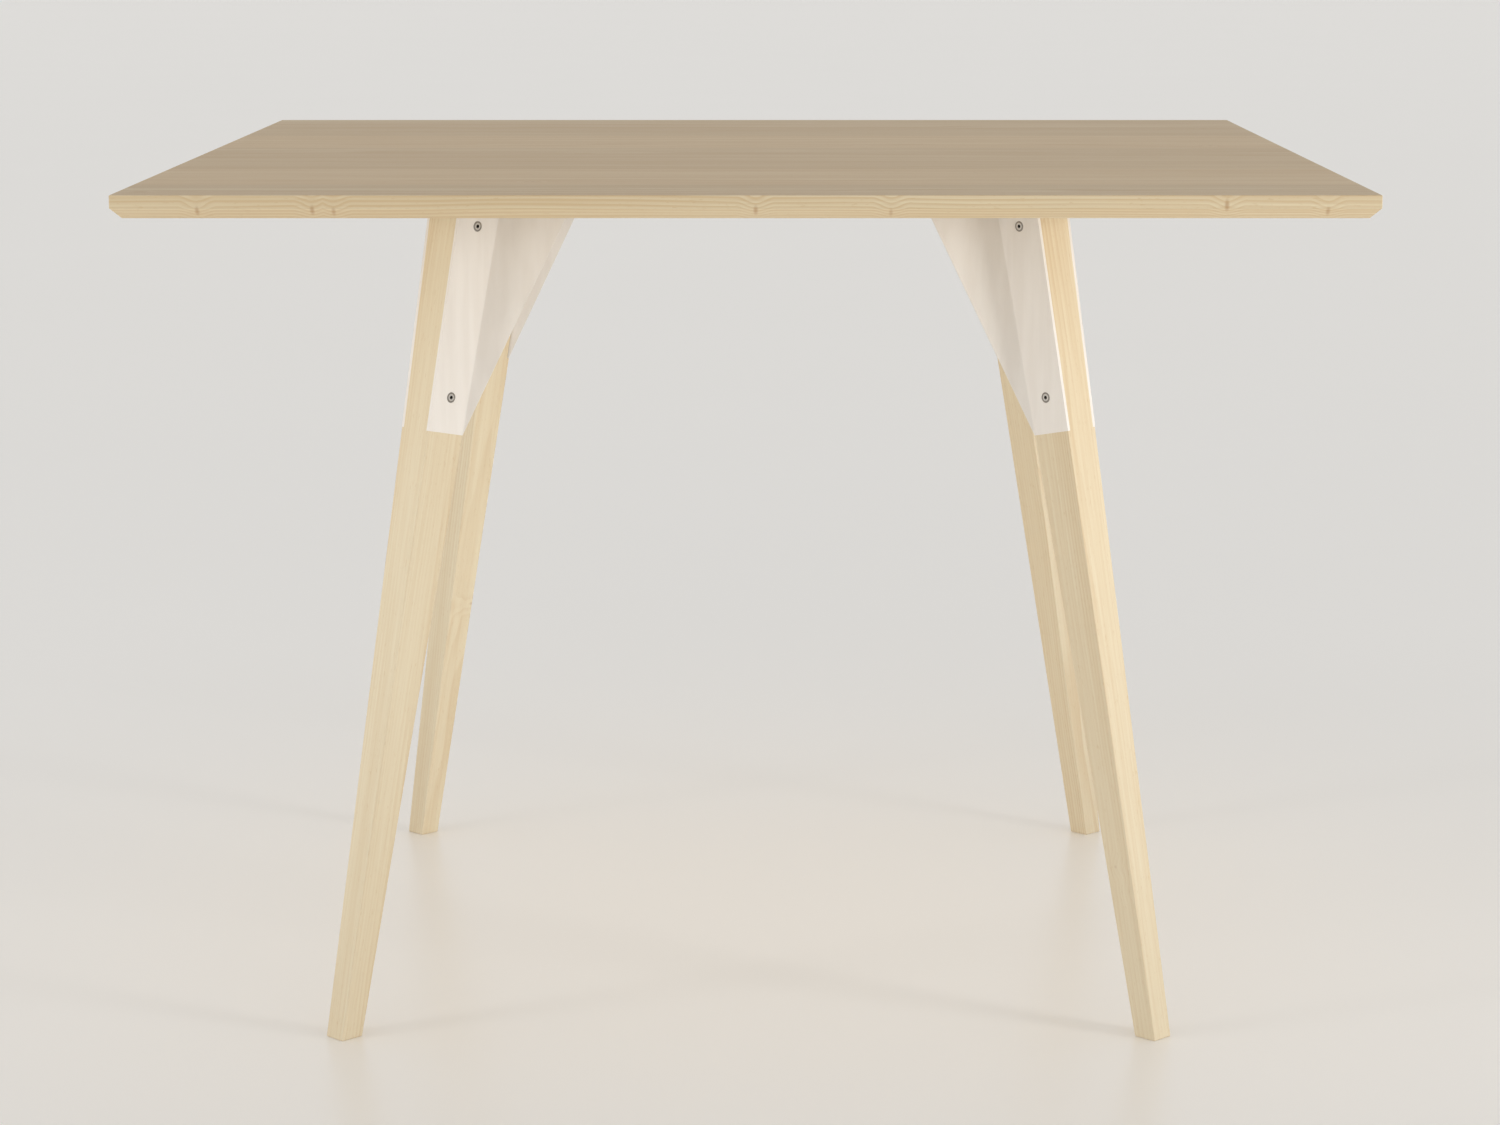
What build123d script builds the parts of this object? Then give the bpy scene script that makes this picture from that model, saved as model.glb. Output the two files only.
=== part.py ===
from build123d import *
import os
from math import atan, cos, radians, sin, sqrt

# A square table of solid maple on four splayed, tapered legs. Each leg is turned 45 degrees in
# plan and is held under the top by a bracket of folded sheet steel, whose flanges are let into the
# leg's sides. Millimetres, +Z up, origin on the floor under the middle of the top, +X to the right
# and +Y to the rear.

# Whole table
TABLE_SIZE = 1016.0
TABLE_HEIGHT = 746.0

# Tabletop: boards edge-glued side by side, their grain along X, front board first
TOP_THICKNESS = 19.0
TOP_BEVEL = 8.5
TOP_EASE = 0.8
BOARD_WIDTHS = (112.0, 178.0, 278.0, 180.0, 268.0)

# Legs: insets of the leg's centreline from each table edge, and sizes square to the centreline
FOOT_INSET = 155.3
LEG_TOP_INSET = 263.1
LEG_TOP_DEPTH = 46.0
LEG_TOP_WIDTH = 42.0
LEG_FOOT_SIZE = 22.0
LEG_EASE = 1.0

# Brackets
SHEET = 3.0
BEND_RADIUS = 2.0
WING_LENGTH = 65.5
BRACKET_FOOT = 518.0
FOLD_CLEARANCE = 0.6
BEND_RELIEF = 6.0
PLATE_BORDER = 20.0
PLATE_CORNER_RADIUS = 12.0
SHEET_HOLE_RADIUS = 2.75

# M5 countersunk screws, flush with the sheet, and the threaded inserts that they turn into
SCREW_RADIUS = 2.45
SCREW_TIP_CHAMFER = 0.6
HEAD_FLAT_RADIUS = 3.1
HEAD_RADIUS = 4.6
HEAD_BEVEL = 0.25
SOCKET_WIDTH = 3.0
SOCKET_DEPTH = 1.6
SCREW_LENGTH = 12.0
LEG_SCREW_DISTANCES = (28.0, 178.0)
PLATE_SCREW_PLACES = (168.0, 206.0)
INSERT_CORE_RADIUS = 3.4
INSERT_RIB_RADIUS = 4.0
INSERT_RIB_HEIGHT = 0.7
INSERT_RIB_PITCH = 1.6
INSERT_LENGTH = 10.0
INSERT_BORE_RADIUS = 2.5
INSERT_HOLE_RADIUS = 4.05
INSERT_HOLE_EXTRA = 2.0

# Worked out from the above
UNDERSIDE = TABLE_HEIGHT - TOP_THICKNESS
LEG_TOP = UNDERSIDE - SHEET
FLANGE_TOP = UNDERSIDE - BEND_RELIEF
FOOT_REACH = (TABLE_SIZE / 2 - FOOT_INSET) * sqrt(2)
LEG_TOP_REACH = (TABLE_SIZE / 2 - LEG_TOP_INSET) * sqrt(2)
LEG_TILT = atan((FOOT_REACH - LEG_TOP_REACH) / UNDERSIDE)
LEG_AXIS = Vector(LEG_TOP_REACH - FOOT_REACH, 0, UNDERSIDE).normalized()
CORNER_ANGLES = {"rear_right": 45, "rear_left": 135, "front_left": 225, "front_right": 315}


# A leg and its bracket are drawn on a leg whose diagonal is turned onto +X, so that +X points
# outward, and are turned to their corner at the end.


def between(foot_value, top_value, z):
    """A leg measure at height z, which changes evenly from the floor to the tabletop."""
    return foot_value + (top_value - foot_value) * z / UNDERSIDE


def leg_reach(z):
    return between(FOOT_REACH, LEG_TOP_REACH, z)


def leg_depth(z):
    """Level size along the diagonal."""
    return between(LEG_FOOT_SIZE, LEG_TOP_DEPTH, z) / cos(LEG_TILT)


def leg_width(z):
    """Size across the diagonal."""
    return between(LEG_FOOT_SIZE, LEG_TOP_WIDTH, z)


def inner_edge(z):
    """Point on the leg's edge that faces the table's centre, on its +Y side."""
    return Vector(leg_reach(z) - leg_depth(z) / 2, leg_width(z) / 2, z)


def outer_edge(z):
    """Point on the leg's edge that faces away from the table's centre, on its +Y side."""
    return Vector(leg_reach(z) + leg_depth(z) / 2, leg_width(z) / 2, z)


def fold_point(z):
    """Point on the fold between flange and wing, on the sheet's leg side, on the +Y side."""
    return inner_edge(z) - Vector(FOLD_CLEARANCE, SHEET, 0)


# Directions on the +Y side: along the fold between flange and wing, along the wing's head, from
# the wing's head towards the middle of the plate, and out of each face of the folded sheet.
BEND_LINE = (fold_point(UNDERSIDE) - fold_point(0)).normalized()
WING_LINE = Vector(-1, 1, 0).normalized()
INWARD = Vector(-1, -1, 0).normalized()
FLANGE_NORMAL = BEND_LINE.cross(Vector(1, 0, 0)).normalized()
WING_NORMAL = WING_LINE.cross(BEND_LINE).normalized()
WING_TIP = fold_point(LEG_TOP) + WING_LINE * WING_LENGTH
FOOT_CUT = Plane(origin=fold_point(BRACKET_FOOT), z_dir=LEG_AXIS)
DOWNWARD = (Align.CENTER, Align.CENTER, Align.MAX)


def across_bend(direction):
    """The part of a direction that is square to the fold between flange and wing."""
    return direction - BEND_LINE * BEND_LINE.dot(direction)


def leg_screw_planes():
    """Planes on the flange's outer face at its two screws, each facing out of the leg."""
    planes = []
    for distance in LEG_SCREW_DISTANCES:
        z = UNDERSIDE - distance * cos(LEG_TILT)
        middle = (inner_edge(z) + outer_edge(z)) / 2 - Vector(0, SHEET, 0)
        planes.append(Plane(origin=middle + FLANGE_NORMAL * SHEET, z_dir=FLANGE_NORMAL))
    return planes


def plate_screw_places():
    """Plan positions of the screws through the bracket's top plate."""
    places = []
    for x in PLATE_SCREW_PLACES:
        for y in PLATE_SCREW_PLACES:
            places.append(Vector(x, y, 0).rotate(Axis.Z, -45))
    return places


def screw():
    """Countersunk screw with a shallow bevel round its flat head. The head's top is at the origin
    and faces +Z, and the head's seat is a 90 degree cone."""
    seat_depth = HEAD_BEVEL + HEAD_RADIUS - SCREW_RADIUS
    profile = [
        (0, 0),
        (HEAD_FLAT_RADIUS, 0),
        (HEAD_RADIUS, -HEAD_BEVEL),
        (SCREW_RADIUS, -seat_depth),
        (SCREW_RADIUS, SCREW_TIP_CHAMFER - SCREW_LENGTH),
        (SCREW_RADIUS - SCREW_TIP_CHAMFER, -SCREW_LENGTH),
        (0, -SCREW_LENGTH),
    ]
    body = revolve(Plane.XZ * make_face(Polyline(*profile, close=True)), axis=Axis.Z)
    hexagon = RegularPolygon(SOCKET_WIDTH / 2, 6, major_radius=False)
    return body - extrude(hexagon, amount=-SOCKET_DEPTH)


def screw_hole():
    """Clearance hole in the sheet with the countersink that the screw's head lies in."""
    surface_radius = HEAD_RADIUS + HEAD_BEVEL
    sink = Cone(0, surface_radius, surface_radius, align=DOWNWARD)
    return sink + Cylinder(SHEET_HOLE_RADIUS, 3 * SHEET)


def insert():
    """Ribbed threaded insert, its mouth at the origin and its body down -Z."""
    body = Cylinder(INSERT_CORE_RADIUS, INSERT_LENGTH, align=DOWNWARD)
    rib_count = int(INSERT_LENGTH / INSERT_RIB_PITCH)
    for rib in range(rib_count):
        depth = INSERT_RIB_PITCH * (rib + 0.5)
        body += Pos(0, 0, -depth) * Cylinder(INSERT_RIB_RADIUS, INSERT_RIB_HEIGHT)
    return body - Cylinder(INSERT_BORE_RADIUS, INSERT_LENGTH, align=DOWNWARD)


def insert_hole():
    return Cylinder(INSERT_HOLE_RADIUS, INSERT_LENGTH + INSERT_HOLE_EXTRA, align=DOWNWARD)


def both_sides(piece):
    """The piece and its mirror image on the leg's -Y side."""
    return [piece, mirror(piece, about=Plane.XZ)]


def leg_fasteners(piece):
    """Copies of a fastener or hole at the leg's four screw places, each with its top flush with
    the flange's outer face."""
    copies = []
    for plane in leg_screw_planes():
        copies += both_sides(plane.location * piece)
    return copies


def in_wood(piece):
    """A fastener or hole moved in from the flange's outer face to the wood behind the sheet."""
    return Pos(0, 0, -SHEET) * piece


def flange_recess():
    """Shallow recess down the leg's +Y side, as deep as the flange that lies in it is thick."""
    side_face = Plane(origin=fold_point(0), x_dir=across_bend(Vector(1, 0, 0)), z_dir=BEND_LINE)
    outside = Box(4 * LEG_TOP_DEPTH, 2 * SHEET, TABLE_HEIGHT, align=(Align.CENTER, Align.MIN, Align.MIN))
    return split(side_face.location * outside, bisect_by=FOOT_CUT, keep=Keep.TOP)


def leg():
    """Straight leg, tapered both ways, cut level at the floor and under the bracket's plate."""
    foot = Pos(leg_reach(0), 0, 0) * Rectangle(leg_depth(0), leg_width(0))
    top = Pos(leg_reach(LEG_TOP), 0, LEG_TOP) * Rectangle(leg_depth(LEG_TOP), leg_width(LEG_TOP))
    body = loft([foot.face(), top.face()], ruled=True)
    body = fillet(body.edges(), LEG_EASE)
    for cut in both_sides(flange_recess()) + leg_fasteners(in_wood(insert_hole())):
        body -= cut
    return body


def folded_section(first, second, angle, side):
    """Sheet seen along a fold. One arm lies on +X and the other at an angle to it.
    The sheet's thickness is inside the fold where side is 1, and outside where it is -1."""
    turn = radians(angle)
    arm = Vector(cos(turn), sin(turn)) * second
    arm_offset = Vector(sin(turn), -cos(turn)) * side * SHEET
    corner = Vector(cos(turn / 2), sin(turn / 2)) * side * SHEET / sin(turn / 2)
    near_face = [Vector(first, 0), Vector(0, 0), arm]
    far_face = [arm + arm_offset, corner, Vector(first, side * SHEET)]
    section = make_face(Polyline(*near_face, *far_face, close=True))
    near_radius = BEND_RADIUS + SHEET if side > 0 else BEND_RADIUS
    far_radius = 2 * BEND_RADIUS + SHEET - near_radius
    section = fillet(section.vertices().sort_by_distance((0, 0, 0))[0], near_radius)
    return fillet(section.vertices().sort_by_distance(corner)[0], far_radius)


def flange_and_wing():
    """The flange on the leg's +Y side and the wing beside it, folded from one strip along the
    leg's edge, and cut flush with the leg's outer face and square to the leg at its foot."""
    arm = across_bend(Vector(1, 0, 0))
    wing_arm = across_bend(WING_LINE)
    fold = Plane(origin=fold_point(0), x_dir=arm, z_dir=BEND_LINE)
    section = folded_section(2 * LEG_TOP_DEPTH, 2 * WING_LENGTH, arm.get_angle(wing_arm), 1)
    strip = extrude(fold * section, amount=TABLE_HEIGHT, dir=BEND_LINE)
    outer_line = outer_edge(UNDERSIDE) - outer_edge(0)
    outer_face = Plane(origin=outer_edge(0), z_dir=Vector(0, 1, 0).cross(outer_line))
    strip = split(strip, bisect_by=outer_face, keep=Keep.BOTTOM)
    strip = split(strip, bisect_by=FOOT_CUT, keep=Keep.TOP)
    return split(strip, bisect_by=Plane.XY.offset(FLANGE_TOP), keep=Keep.BOTTOM)


def plate_and_wing():
    """The top plate's border and the head of the wing, folded along the tabletop."""
    down_wing = BEND_LINE.dot(WING_LINE) * WING_LINE - BEND_LINE
    fold = Plane(origin=WING_TIP, x_dir=INWARD, z_dir=-WING_LINE)
    section = folded_section(PLATE_BORDER, PLATE_BORDER, INWARD.get_angle(down_wing), -1)
    return extrude(fold * section, amount=WING_LENGTH - BEND_RELIEF, dir=-WING_LINE)


def wing_slant():
    """Plane of the wing's slanted edge, from its tip down to the flange's inner bottom corner,
    facing away from the bracket."""
    sheet_corner = (FLANGE_NORMAL + WING_NORMAL) * SHEET / (1 + FLANGE_NORMAL.dot(WING_NORMAL))
    bottom = fold_point(BRACKET_FOOT) + sheet_corner
    slant = WING_TIP + WING_NORMAL * SHEET - bottom
    return Plane(origin=bottom, z_dir=slant.cross(WING_NORMAL))


def top_plate():
    """Level plate under the tabletop, between the wings and over the end of the leg."""
    inner_corner = Vector(WING_TIP.X - WING_TIP.Y, 0)
    inset = INWARD * BEND_RELIEF
    half = [WING_TIP + inset, fold_point(LEG_TOP) + inset, outer_edge(LEG_TOP)]
    one_side = [Vector(point.X, point.Y) for point in half]
    other_side = [Vector(point.X, -point.Y) for point in reversed(half)]
    outline = make_face(Polyline(inner_corner, *one_side, *other_side, close=True))
    outline = fillet(outline.vertices().sort_by(Axis.X)[0], PLATE_CORNER_RADIUS)
    plate = extrude(Pos(0, 0, LEG_TOP) * outline, amount=SHEET)
    for place in plate_screw_places():
        plate -= Pos(place.X, place.Y, LEG_TOP) * Rot(180, 0, 0) * screw_hole()
    return plate


def bracket():
    """One folded sheet: a top plate, two wings and two flanges that clasp the leg."""
    side = flange_and_wing() + plate_and_wing()
    side = split(side, bisect_by=wing_slant(), keep=Keep.BOTTOM)
    for plane in leg_screw_planes():
        side -= plane.location * screw_hole()
    left, right = both_sides(side)
    return top_plate() + left + right


def tabletop_panel():
    """The whole top: square, bevelled under all four edges, its corners slightly eased."""
    panel = Pos(0, 0, TABLE_HEIGHT) * Box(TABLE_SIZE, TABLE_SIZE, TOP_THICKNESS, align=DOWNWARD)
    panel = chamfer(panel.faces().sort_by(Axis.Z)[0].edges(), TOP_BEVEL)
    return fillet(panel.edges(), TOP_EASE)


def tabletop_boards():
    """The top sawn at its glue lines, with the holes for the threaded inserts."""
    panel = tabletop_panel()
    for angle in CORNER_ANGLES.values():
        for place in plate_screw_places():
            panel -= Rot(0, 0, angle) * Pos(place.X, place.Y, UNDERSIDE) * Rot(180, 0, 0) * insert_hole()
    boards = {}
    front = -TABLE_SIZE / 2
    for number, width in enumerate(BOARD_WIDTHS, start=1):
        slab = Pos(0, front + width / 2, TABLE_HEIGHT) * Box(TABLE_SIZE, width, 2 * TOP_THICKNESS)
        boards[f"tabletop_board_{number}"] = panel & slab
        front += width
    return boards


def plate_screws():
    """Screws up through the top plate, their heads flush with its lower face."""
    fastener = Rot(180, 0, 0) * screw()
    return [Pos(place.X, place.Y, LEG_TOP) * fastener for place in plate_screw_places()]


def plate_inserts():
    """Inserts in the tabletop, their mouths flush with its underside."""
    fastener = Rot(180, 0, 0) * insert()
    return [Pos(place.X, place.Y, UNDERSIDE) * fastener for place in plate_screw_places()]


def corner_pieces():
    """Everything at one corner, drawn on a leg that stands on +X."""
    return {
        "leg": [leg()],
        "bracket": [bracket()],
        "leg_screws": leg_fasteners(screw()),
        "leg_inserts": leg_fasteners(in_wood(insert())),
        "plate_screws": plate_screws(),
        "plate_inserts": plate_inserts(),
    }


def write(name, solids):
    export_step(Compound(children=solids), f"parts/{name}.step")


os.makedirs("parts", exist_ok=True)
for name, board in tabletop_boards().items():
    write(name, [board])
for piece, solids in corner_pieces().items():
    for corner, angle in CORNER_ANGLES.items():
        write(f"{piece}_{corner}", [Rot(0, 0, angle) * solid for solid in solids])
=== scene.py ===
"""The looks of a square maple table: its materials, a plain studio and the camera."""

import math

import bpy
import numpy as np
from mathutils import Matrix, Vector


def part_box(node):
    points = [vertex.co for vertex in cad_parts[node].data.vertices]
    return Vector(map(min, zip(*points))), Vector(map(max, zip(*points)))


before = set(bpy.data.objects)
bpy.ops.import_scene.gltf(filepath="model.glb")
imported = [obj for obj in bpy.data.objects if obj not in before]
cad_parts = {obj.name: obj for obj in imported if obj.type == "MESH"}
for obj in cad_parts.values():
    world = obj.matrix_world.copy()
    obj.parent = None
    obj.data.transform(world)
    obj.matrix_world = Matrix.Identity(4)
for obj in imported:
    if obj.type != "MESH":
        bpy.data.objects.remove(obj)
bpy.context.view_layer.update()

CORNERS = ("front_left", "front_right", "rear_left", "rear_right")
BOARDS = sorted(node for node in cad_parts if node.startswith("tabletop_board_"))

# Camera: a little to the right of the table's middle, above the tabletop, tipped down
CAMERA_PLACE = (0.0274, -3.389, 0.9756)
CAMERA_DIP = 9.18
CAMERA_LENS = 86.72
CAMERA_SHIFT = (-0.02, -0.05)

# Softboxes: square lights in front of the table, to its right and left and about as high
SOFTBOX_SIZE = 0.7
SOFTBOX_SPREAD = 38.0
SOFTBOX_TARGET = (0.0, 0.0, 0.50)
RIGHT_PLACE, RIGHT_POWER = (3.01, -1.75, 0.72), 2.6
LEFT_PLACE, LEFT_POWER = (-3.08, -1.65, 0.72), 1.55
LAMP_WHITE = (1.0, 0.985, 0.96)

# Surroundings: brightest a little above the horizon, where GLOW_HEIGHT is the sine of the angle
HORIZON = (0.73, 0.723, 0.70, 1.0)
GLOW = (0.96, 0.95, 0.93, 1.0)
OVERHEAD = (0.56, 0.555, 0.545, 1.0)
GLOW_HEIGHT, OVERHEAD_HEIGHT = 0.22, 0.9
FLOOR_REACH = 60.0

# Maple, in linear colour. A shade tints a whole piece, and END_DARKENING the grain's sawn ends
MAPLE_PALE = (0.835, 0.745, 0.565)
MAPLE_DEEP = (0.70, 0.55, 0.36)
KNOT_BROWN = (0.36, 0.17, 0.065)
LEG_SHADE = (0.962, 0.968, 0.965)
TOP_SHADE = (0.98, 0.96, 0.90)
TOP_TONES = (0.93, 1.01, 0.96, 1.02, 0.95)
# painted shade: darkens faces that look up, such as the tabletop's upper side
UPWARD_PAINTED_SHADE = (0.778, 0.725, 0.676)
# painted light: lightens faces that look down, such as the underside and the bevel
DOWNWARD_PAINTED_LIGHT = (1.15, 1.15, 1.16)
END_DARKENING = 0.62

# Grain: the width of a growth ring, how strongly rings and streaks show, and layers of streaks.
# Each layer is its streaks' number in a metre along and across the grain, and how far it darkens
BOARD_RING, BOARD_FIGURE = 0.0034, 1.0
LEG_RING, LEG_FIGURE = 0.0030, 0.65
GRAIN_LAYERS = ((1.5, 9.0, 0.24), (0.8, 30.0, 0.26), (1.0, 95.0, 0.28), (3.0, 380.0, 0.22))

# Hearts of the trees: how far below a board and how far from a leg's middle they lay, and a step
# along the grain that gives every board and every leg its own stretch of tree. A leg's direction
# is found from the points within END_SLICE of its top and its foot
BOARD_HEART, BOARD_STEP = 0.07, 0.31
LEG_HEART, LEG_STEP = 0.05, 0.4
END_SLICE = 0.002

# Knots: branches in a metre along each axis of the tree, and how fast a knot fades along X, Y and
# Z. Those on the front edge are given by how far along X and how far above the underside they are
BRANCHES = (9.0, 9.0, 2.5)
KNOT_FADE = (1.0, 0.3, 0.4)
FRONT_KNOTS = (
    (-0.438, 0.005), (-0.346, 0.006), (-0.329, 0.004), (0.008, 0.006),
    (0.116, 0.003), (0.384, 0.011), (0.465, 0.005),
)

# Screw heads: the radius of the flat inside the bevel, the socket's depth and reach, and how far
# the edges of the two blur. Painted shade darkens the bevel beyond the flat, and painted shadow
# blackens the socket
HEAD_FLAT = 0.0030
SOCKET_DEPTH = 0.0016
SOCKET_REACH = 0.00165
BEVEL_BLUR, SOCKET_BLUR = 0.0002, 0.00015

# The other materials, in linear colour: each varies between its first shade and its second
PAINT_SHADES = ((0.87, 0.84, 0.805), (0.825, 0.79, 0.75))
STEEL_SHADES = ((0.68, 0.66, 0.63), (0.80, 0.78, 0.75))
BRASS_SHADES = ((0.78, 0.56, 0.26), (0.55, 0.37, 0.16))
FLOOR_SHADES = ((0.955, 0.94, 0.92), (0.94, 0.925, 0.905))
# painted shade: the grey on the bevel round each screw head
BEVEL_PAINTED_SHADE = (0.36, 0.34, 0.315)
# painted shadow: the black down in the screw sockets
SOCKET_PAINTED_SHADOW = (0.012, 0.011, 0.010)


class Shader:
    """A material whose nodes are added one at a time, each fed by the outputs before it."""

    def __init__(self, name):
        self.material = bpy.data.materials.new(name)
        self.material.use_nodes = True
        self.tree = self.material.node_tree
        self.surface = self.tree.nodes["Principled BSDF"]

    def feed(self, socket, value):
        if isinstance(value, bpy.types.NodeSocket):
            self.tree.links.new(value, socket)
        else:
            socket.default_value = value

    def add(self, kind, inputs, output=0, **settings):
        node = self.tree.nodes.new("ShaderNode" + kind)
        for setting, value in settings.items():
            setattr(node, setting, value)
        for socket, value in inputs.items():
            self.feed(node.inputs[socket], value)
        return node.outputs[output]

    def finish(self, inputs):
        for socket, value in inputs.items():
            self.feed(self.surface.inputs[socket], value)
        return self.material

    def place(self):
        """Position on the object, in metres in the table's frame."""
        return self.add("TexCoord", {}, output="Object")

    def math(self, operation, *values):
        return self.add("Math", dict(enumerate(values)), operation=operation)

    def vector(self, operation, *values):
        output = "Value" if operation in ("LENGTH", "DOT_PRODUCT", "DISTANCE") else "Vector"
        return self.add("VectorMath", dict(enumerate(values)), output=output, operation=operation)

    def spread(self, value, low, high, new_low, new_high):
        """The value moved from one range to another, and kept inside it."""
        inputs = {"Value": value, 1: low, 2: high, 3: new_low, 4: new_high}
        return self.add("MapRange", inputs, interpolation_type="SMOOTHSTEP")

    def noise(self, place, stretch, detail=2.0, roughness=0.5):
        """Noise with as many features in a metre along each axis as the stretch says."""
        stretched = self.vector("MULTIPLY", place, stretch)
        inputs = {"Vector": stretched, "Scale": 1.0, "Detail": detail, "Roughness": roughness}
        return self.add("TexNoise", inputs)

    def blend(self, factor, first, second, how="MIX"):
        inputs = {0: factor, 6: as_colour(first), 7: as_colour(second)}
        return self.add("Mix", inputs, output=2, data_type="RGBA", blend_type=how)

    def bump(self, height, distance, strength):
        return self.add("Bump", {"Height": height, "Distance": distance, "Strength": strength})


def as_colour(value):
    """A colour with its alpha, or the socket that gives one."""
    return value if isinstance(value, bpy.types.NodeSocket) else (*value, 1.0)


def knot_distance(wood, place, here, knots):
    """Distance to the nearest knot: some are scattered through the tree, the rest asked for."""
    branches = wood.vector("MULTIPLY", here, BRANCHES)
    scatter = wood.add("TexVoronoi", {"Vector": branches, "Scale": 1.0}, output="Distance")
    nearest = wood.math("DIVIDE", scatter, BRANCHES[0])
    for knot in knots:
        offset = wood.vector("MULTIPLY", wood.vector("SUBTRACT", place, knot), KNOT_FADE)
        nearest = wood.math("MINIMUM", nearest, wood.vector("LENGTH", offset))
    return nearest


def growth_rings(wood, here, nearest, ring_width):
    """Rings round the pith, which wander along the grain and swell round the knots: 0 in pale early
    wood, up to 1 in dark late wood."""
    radius = wood.vector("LENGTH", wood.vector("MULTIPLY", here, (0.0, 1.0, 1.0)))
    radius = wood.math("MULTIPLY_ADD", wood.noise(here, (1.3, 4.0, 4.0), detail=3.0), 0.026, radius)
    radius = wood.math("MULTIPLY_ADD", wood.noise(here, (1.8, 38.0, 38.0)), 0.010, radius)
    radius = wood.math("ADD", radius, wood.spread(nearest, 0.0, 0.016, 0.0045, 0.0))
    ring = wood.math("FRACT", wood.math("DIVIDE", radius, ring_width))
    summer = wood.spread(ring, 0.2, 0.9, 0.0, 1.0)
    return wood.math("MULTIPLY", summer, wood.spread(ring, 0.9, 1.0, 1.0, 0.0))


def finished(wood, colour, deep, lengthways):
    """The colour with what depends on where a face looks: sawn ends drink in more of the finish,
    faces that look up, such as the tabletop's upper side, are darkened with painted shade, and
    faces that look down, such as the underside and the bevel, are lightened with painted light."""
    facing = wood.add("TexCoord", {}, output="Normal")
    endways = wood.math("ABSOLUTE", wood.vector("DOT_PRODUCT", facing, lengthways))
    sawn = wood.spread(endways, 0.6, 0.95, 0.0, 0.35)
    colour = wood.blend(sawn, colour, [part * END_DARKENING for part in deep])
    upward = wood.vector("DOT_PRODUCT", facing, (0.0, 0.0, 1.0))
    # painted shade on faces that look up
    top_in_painted_shade = wood.blend(1.0, colour, UPWARD_PAINTED_SHADE, "MULTIPLY")
    colour = wood.blend(wood.spread(upward, 0.8, 0.99, 0.0, 1.0), colour, top_in_painted_shade)
    # painted light on faces that look down
    under_in_painted_light = wood.blend(1.0, colour, DOWNWARD_PAINTED_LIGHT, "MULTIPLY")
    return wood.blend(wood.spread(upward, -0.7, -0.5, 1.0, 0.0), colour, under_in_painted_light)


def maple(name, grain, pith, ring_width, figure, shade, knots=()):
    """Clear-finished maple. grain turns the table's frame so that the grain runs along X, pith is
    a point on the tree's heart in that frame, figure is how strongly rings and streaks show, and
    knots are places with a small brown knot."""
    wood = Shader(name)
    place = wood.place()
    inputs = {"Vector": place, "Rotation": grain.to_euler(), "Location": -pith}
    here = wood.add("Mapping", inputs, vector_type="POINT")
    nearest = knot_distance(wood, place, here, knots)

    # Rings that come and go, streaks of every width, fibres, and the short dark flecks of maple
    fading = wood.noise(here, (1.2, 21.0, 21.0))
    strength = wood.spread(fading, 0.35, 0.65, 0.16 * figure, 0.65 * figure)
    depth = wood.math("MULTIPLY", growth_rings(wood, here, nearest, ring_width), strength)
    for length, width, share in GRAIN_LAYERS:
        layer = wood.noise(here, (length, width, width), detail=3.0)
        depth = wood.math("ADD", depth, wood.spread(layer, 0.32, 0.68, 0.0, share * figure))
    fibre = wood.noise(here, (14.0, 1100.0, 1100.0), detail=3.0, roughness=0.6)
    depth = wood.math("ADD", depth, wood.spread(fibre, 0.3, 0.7, 0.0, 0.16))
    fleck = wood.spread(wood.noise(here, (150.0, 900.0, 900.0), detail=1.0), 0.66, 0.74, 0.0, 1.0)
    depth = wood.math("MULTIPLY_ADD", fleck, 0.35, depth)

    pale = [part * tint for part, tint in zip(MAPLE_PALE, shade)]
    deep = [part * tint for part, tint in zip(MAPLE_DEEP, shade)]
    colour = wood.blend(depth, pale, deep)
    colour = wood.blend(wood.spread(nearest, 0.0004, 0.0028, 0.5, 0.0), colour, KNOT_BROWN)
    height = wood.math("MULTIPLY_ADD", fleck, -0.6, fibre)
    return wood.finish({
        "Base Color": finished(wood, colour, deep, grain[0]),
        "Roughness": wood.spread(fibre, 0.3, 0.7, 0.43, 0.53),
        "Specular IOR Level": 0.15,
        "Normal": wood.bump(height, 0.00012, 0.5),
    })


def board_material(number, node):
    """Maple with its grain along the table's X, cut from a tree whose heart lay below the board."""
    low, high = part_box(node)
    width = high.y - low.y
    middle = (low.y + high.y) / 2
    sway = math.sin(2.4 * number + 0.7)
    heart_depth = BOARD_HEART + 0.03 * sway
    pith = Vector((BOARD_STEP * number, middle + 0.3 * sway * width, low.z - heart_depth))
    knots = []
    if node == BOARDS[0]:
        knots = [(along, low.y, low.z + above) for along, above in FRONT_KNOTS]
    tone = [part * TOP_TONES[number - 1] for part in TOP_SHADE]
    return maple(node, Matrix.Identity(3), pith, BOARD_RING, BOARD_FIGURE, tone, knots)


def leg_material(number, node):
    """Maple with its grain along the leg."""
    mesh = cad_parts[node].data
    low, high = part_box(node)
    foot = average(v.co for v in mesh.vertices if v.co.z < low.z + END_SLICE)
    head = average(v.co for v in mesh.vertices if v.co.z > high.z - END_SLICE)
    along = (head - foot).normalized()
    outward = Vector((foot.x, foot.y, 0)).normalized()
    sideways = along.cross(outward).normalized()
    grain = Matrix((along, sideways.cross(along), sideways))
    angle = 1.9 * number + 0.4
    sideways_heart = (LEG_HEART * math.cos(angle), LEG_HEART * math.sin(angle))
    pith = grain @ foot + Vector((LEG_STEP * number, *sideways_heart))
    return maple(node, grain, pith, LEG_RING, LEG_FIGURE, LEG_SHADE)


def average(points):
    points = list(points)
    return sum(points, Vector()) / len(points)


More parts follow.
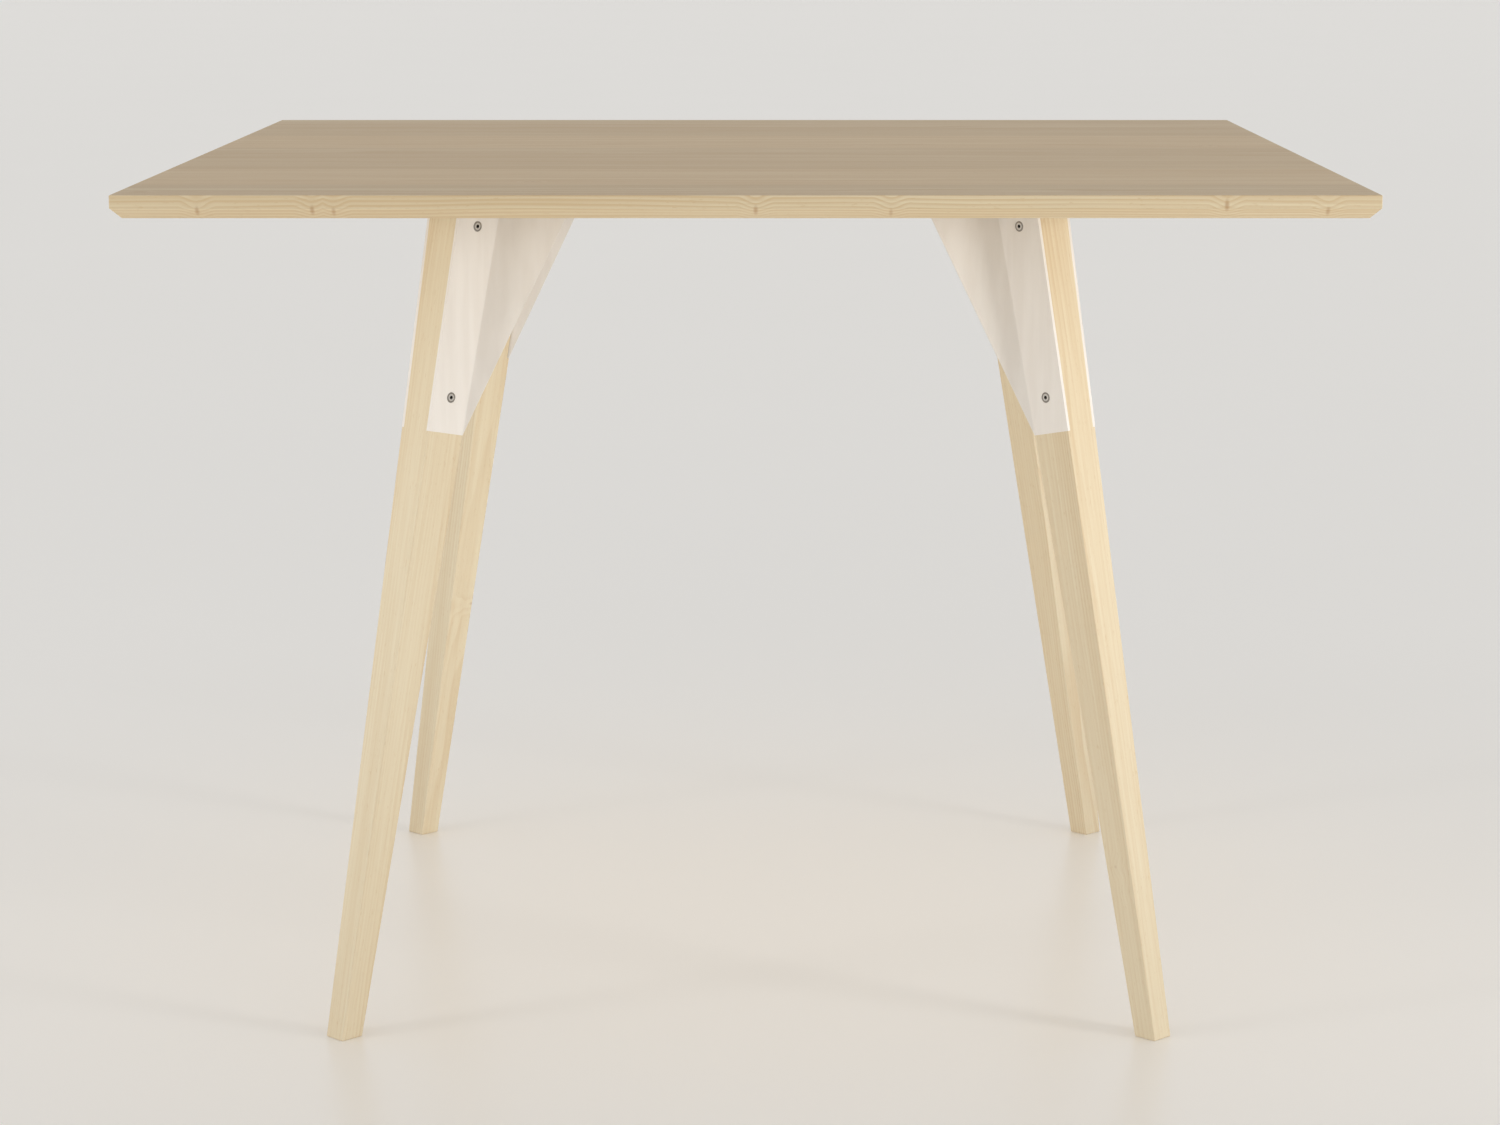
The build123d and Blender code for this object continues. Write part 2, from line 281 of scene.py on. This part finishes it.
def powder_coat():
    """Warm white powder coat: matt, with a fine orange peel and faint upright streaks."""
    paint = Shader("white_steel")
    place = paint.place()
    peel = paint.noise(place, (900.0, 900.0, 900.0), detail=1.0)
    mottle = paint.noise(place, (90.0, 90.0, 9.0), detail=3.0)
    tint = paint.spread(mottle, 0.3, 0.7, 0.0, 1.0)
    return paint.finish({
        "Base Color": paint.blend(tint, *PAINT_SHADES),
        "Roughness": paint.spread(peel, 0.3, 0.7, 0.48, 0.6),
        "Specular IOR Level": 0.4,
        "Normal": paint.bump(peel, 0.00008, 0.4),
    })


def islands(mesh):
    """The separate solids of a mesh, each as an array of its points."""
    leader = list(range(len(mesh.vertices)))

    def first(index):
        while leader[index] != index:
            leader[index] = leader[leader[index]]
            index = leader[index]
        return index

    for edge in mesh.edges:
        leader[first(edge.vertices[0])] = first(edge.vertices[1])
    welded = {}
    for vertex in mesh.vertices:
        key = tuple(round(part, 6) for part in vertex.co)
        other = welded.setdefault(key, vertex.index)
        leader[first(vertex.index)] = first(other)
    solids = {}
    for vertex in mesh.vertices:
        solids.setdefault(first(vertex.index), []).append(vertex.co)
    return [np.array(points) for points in solids.values()]


def head_of(points):
    """The middle of a screw's head top and the direction that the head faces. A screw is round
    about its axis, so the axis is the direction whose spread differs from the other two."""
    centroid = points.mean(0)
    values, directions = np.linalg.eigh(np.cov((points - centroid).T))
    odd_one = 0 if values[1] - values[0] > values[2] - values[1] else 2
    axis = directions[:, odd_one]
    along = (points - centroid) @ axis
    across = np.linalg.norm(points - centroid - np.outer(along, axis), axis=1)
    if along[across.argmax()] < 0:
        axis, along = -axis, -along
    return Vector(centroid + axis * along.max()), Vector(axis)


def steel(node):
    """Plain turned steel, with painted shade darkening the bevel round a head and painted shadow
    blackening the sockets.
    """
    metal = Shader(node)
    place = metal.place()
    grit = metal.noise(place, (2500.0, 2500.0, 2500.0), detail=2.0)
    colour = metal.blend(grit, *STEEL_SHADES)
    # masks for the painted shade on each head's bevel and the painted shadow in its socket
    bevel, socket = 1.0, 0.0
    for points in islands(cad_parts[node].data):
        top, facing = head_of(points)
        from_top = metal.vector("DISTANCE", place, top)
        beyond = metal.spread(from_top, HEAD_FLAT, HEAD_FLAT + BEVEL_BLUR, 0.0, 1.0)
        bevel = metal.math("MULTIPLY", beyond, bevel)
        from_socket = metal.vector("DISTANCE", place, top - facing * SOCKET_DEPTH / 2)
        inside = metal.spread(from_socket, SOCKET_REACH, SOCKET_REACH + SOCKET_BLUR, 1.0, 0.0)
        socket = metal.math("MAXIMUM", inside, socket)
    # painted shade on the bevel of each head
    colour = metal.blend(bevel, colour, BEVEL_PAINTED_SHADE)
    return metal.finish({
        # painted shadow in the sockets
        "Base Color": metal.blend(socket, colour, SOCKET_PAINTED_SHADOW),
        "Metallic": 1.0,
        "Roughness": metal.spread(grit, 0.3, 0.7, 0.42, 0.55),
        "Normal": metal.bump(grit, 0.00002, 0.3),
    })


def brass():
    """Turned brass, a little dulled."""
    metal = Shader("brass_insert")
    place = metal.place()
    tarnish = metal.noise(place, (700.0, 700.0, 700.0), detail=3.0)
    return metal.finish({
        "Base Color": metal.blend(tarnish, *BRASS_SHADES),
        "Metallic": 1.0,
        "Roughness": metal.spread(tarnish, 0.3, 0.7, 0.28, 0.45),
    })


def dress(node, material):
    """Puts a material on every slot of a CAD node."""
    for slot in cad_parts[node].material_slots:
        slot.material = material


def dress_table():
    for number, node in enumerate(BOARDS, start=1):
        dress(node, board_material(number, node))
    paint, insert = powder_coat(), brass()
    for number, corner in enumerate(CORNERS, start=1):
        dress(f"leg_{corner}", leg_material(number, f"leg_{corner}"))
        dress(f"bracket_{corner}", paint)
        for node in (f"leg_screws_{corner}", f"plate_screws_{corner}"):
            dress(node, steel(node))
        dress(f"leg_inserts_{corner}", insert)
        dress(f"plate_inserts_{corner}", insert)


def floor():
    """A plain pale floor with a faint gloss."""
    ground = Shader("floor")
    haze = ground.noise(ground.place(), (1.2, 1.2, 1.2))
    material = ground.finish({
        "Base Color": ground.blend(haze, *FLOOR_SHADES),
        "Roughness": 0.32,
        "Specular IOR Level": 0.35,
    })
    reach = FLOOR_REACH
    corners = [(-reach, -reach, 0), (reach, -reach, 0), (reach, reach, 0), (-reach, reach, 0)]
    mesh = bpy.data.meshes.new("floor")
    mesh.from_pydata(corners, [], [(0, 1, 2, 3)])
    mesh.materials.append(material)
    plane = bpy.data.objects.new("floor", mesh)
    bpy.context.scene.collection.objects.link(plane)


def softbox(name, place, power):
    """A square soft light that faces the table, leaves no glare and isn't seen itself."""
    light = bpy.data.lights.new(name, "AREA")
    light.size = SOFTBOX_SIZE
    light.spread = math.radians(SOFTBOX_SPREAD)
    light.energy = power
    light.color = LAMP_WHITE
    lamp = bpy.data.objects.new(name, light)
    lamp.location = place
    away = Vector(place) - Vector(SOFTBOX_TARGET)
    lamp.rotation_euler = away.to_track_quat("Z", "Y").to_euler()
    lamp.visible_camera = lamp.visible_glossy = False
    bpy.context.scene.collection.objects.link(lamp)


def surroundings():
    """Pale light from all round, brightest a little above the horizon."""
    world = bpy.data.worlds.new("studio")
    world.use_nodes = True
    tree = world.node_tree
    sky = tree.nodes.new("ShaderNodeTexCoord")
    height = tree.nodes.new("ShaderNodeSeparateXYZ")
    shades = tree.nodes.new("ShaderNodeValToRGB")
    shades.color_ramp.interpolation = "EASE"
    stops = shades.color_ramp.elements
    stops[0].color = HORIZON
    stops[1].color = OVERHEAD
    stops[1].position = OVERHEAD_HEIGHT
    stops.new(GLOW_HEIGHT).color = GLOW
    tree.links.new(sky.outputs["Generated"], height.inputs[0])
    tree.links.new(height.outputs["Z"], shades.inputs[0])
    tree.links.new(shades.outputs[0], tree.nodes["Background"].inputs["Color"])
    bpy.context.scene.world = world


def studio():
    floor()
    surroundings()
    softbox("right_light", RIGHT_PLACE, RIGHT_POWER)
    softbox("left_light", LEFT_PLACE, LEFT_POWER)


def camera():
    lens = bpy.data.cameras.new("camera")
    lens.sensor_width = 36.0
    lens.lens = CAMERA_LENS
    lens.shift_x, lens.shift_y = CAMERA_SHIFT
    view = bpy.data.objects.new("camera", lens)
    view.location = CAMERA_PLACE
    view.rotation_euler = (math.radians(90 - CAMERA_DIP), 0, 0)
    bpy.context.scene.collection.objects.link(view)
    bpy.context.scene.camera = view
    bpy.context.scene.view_settings.view_transform = "Standard"


camera()
dress_table()
studio()
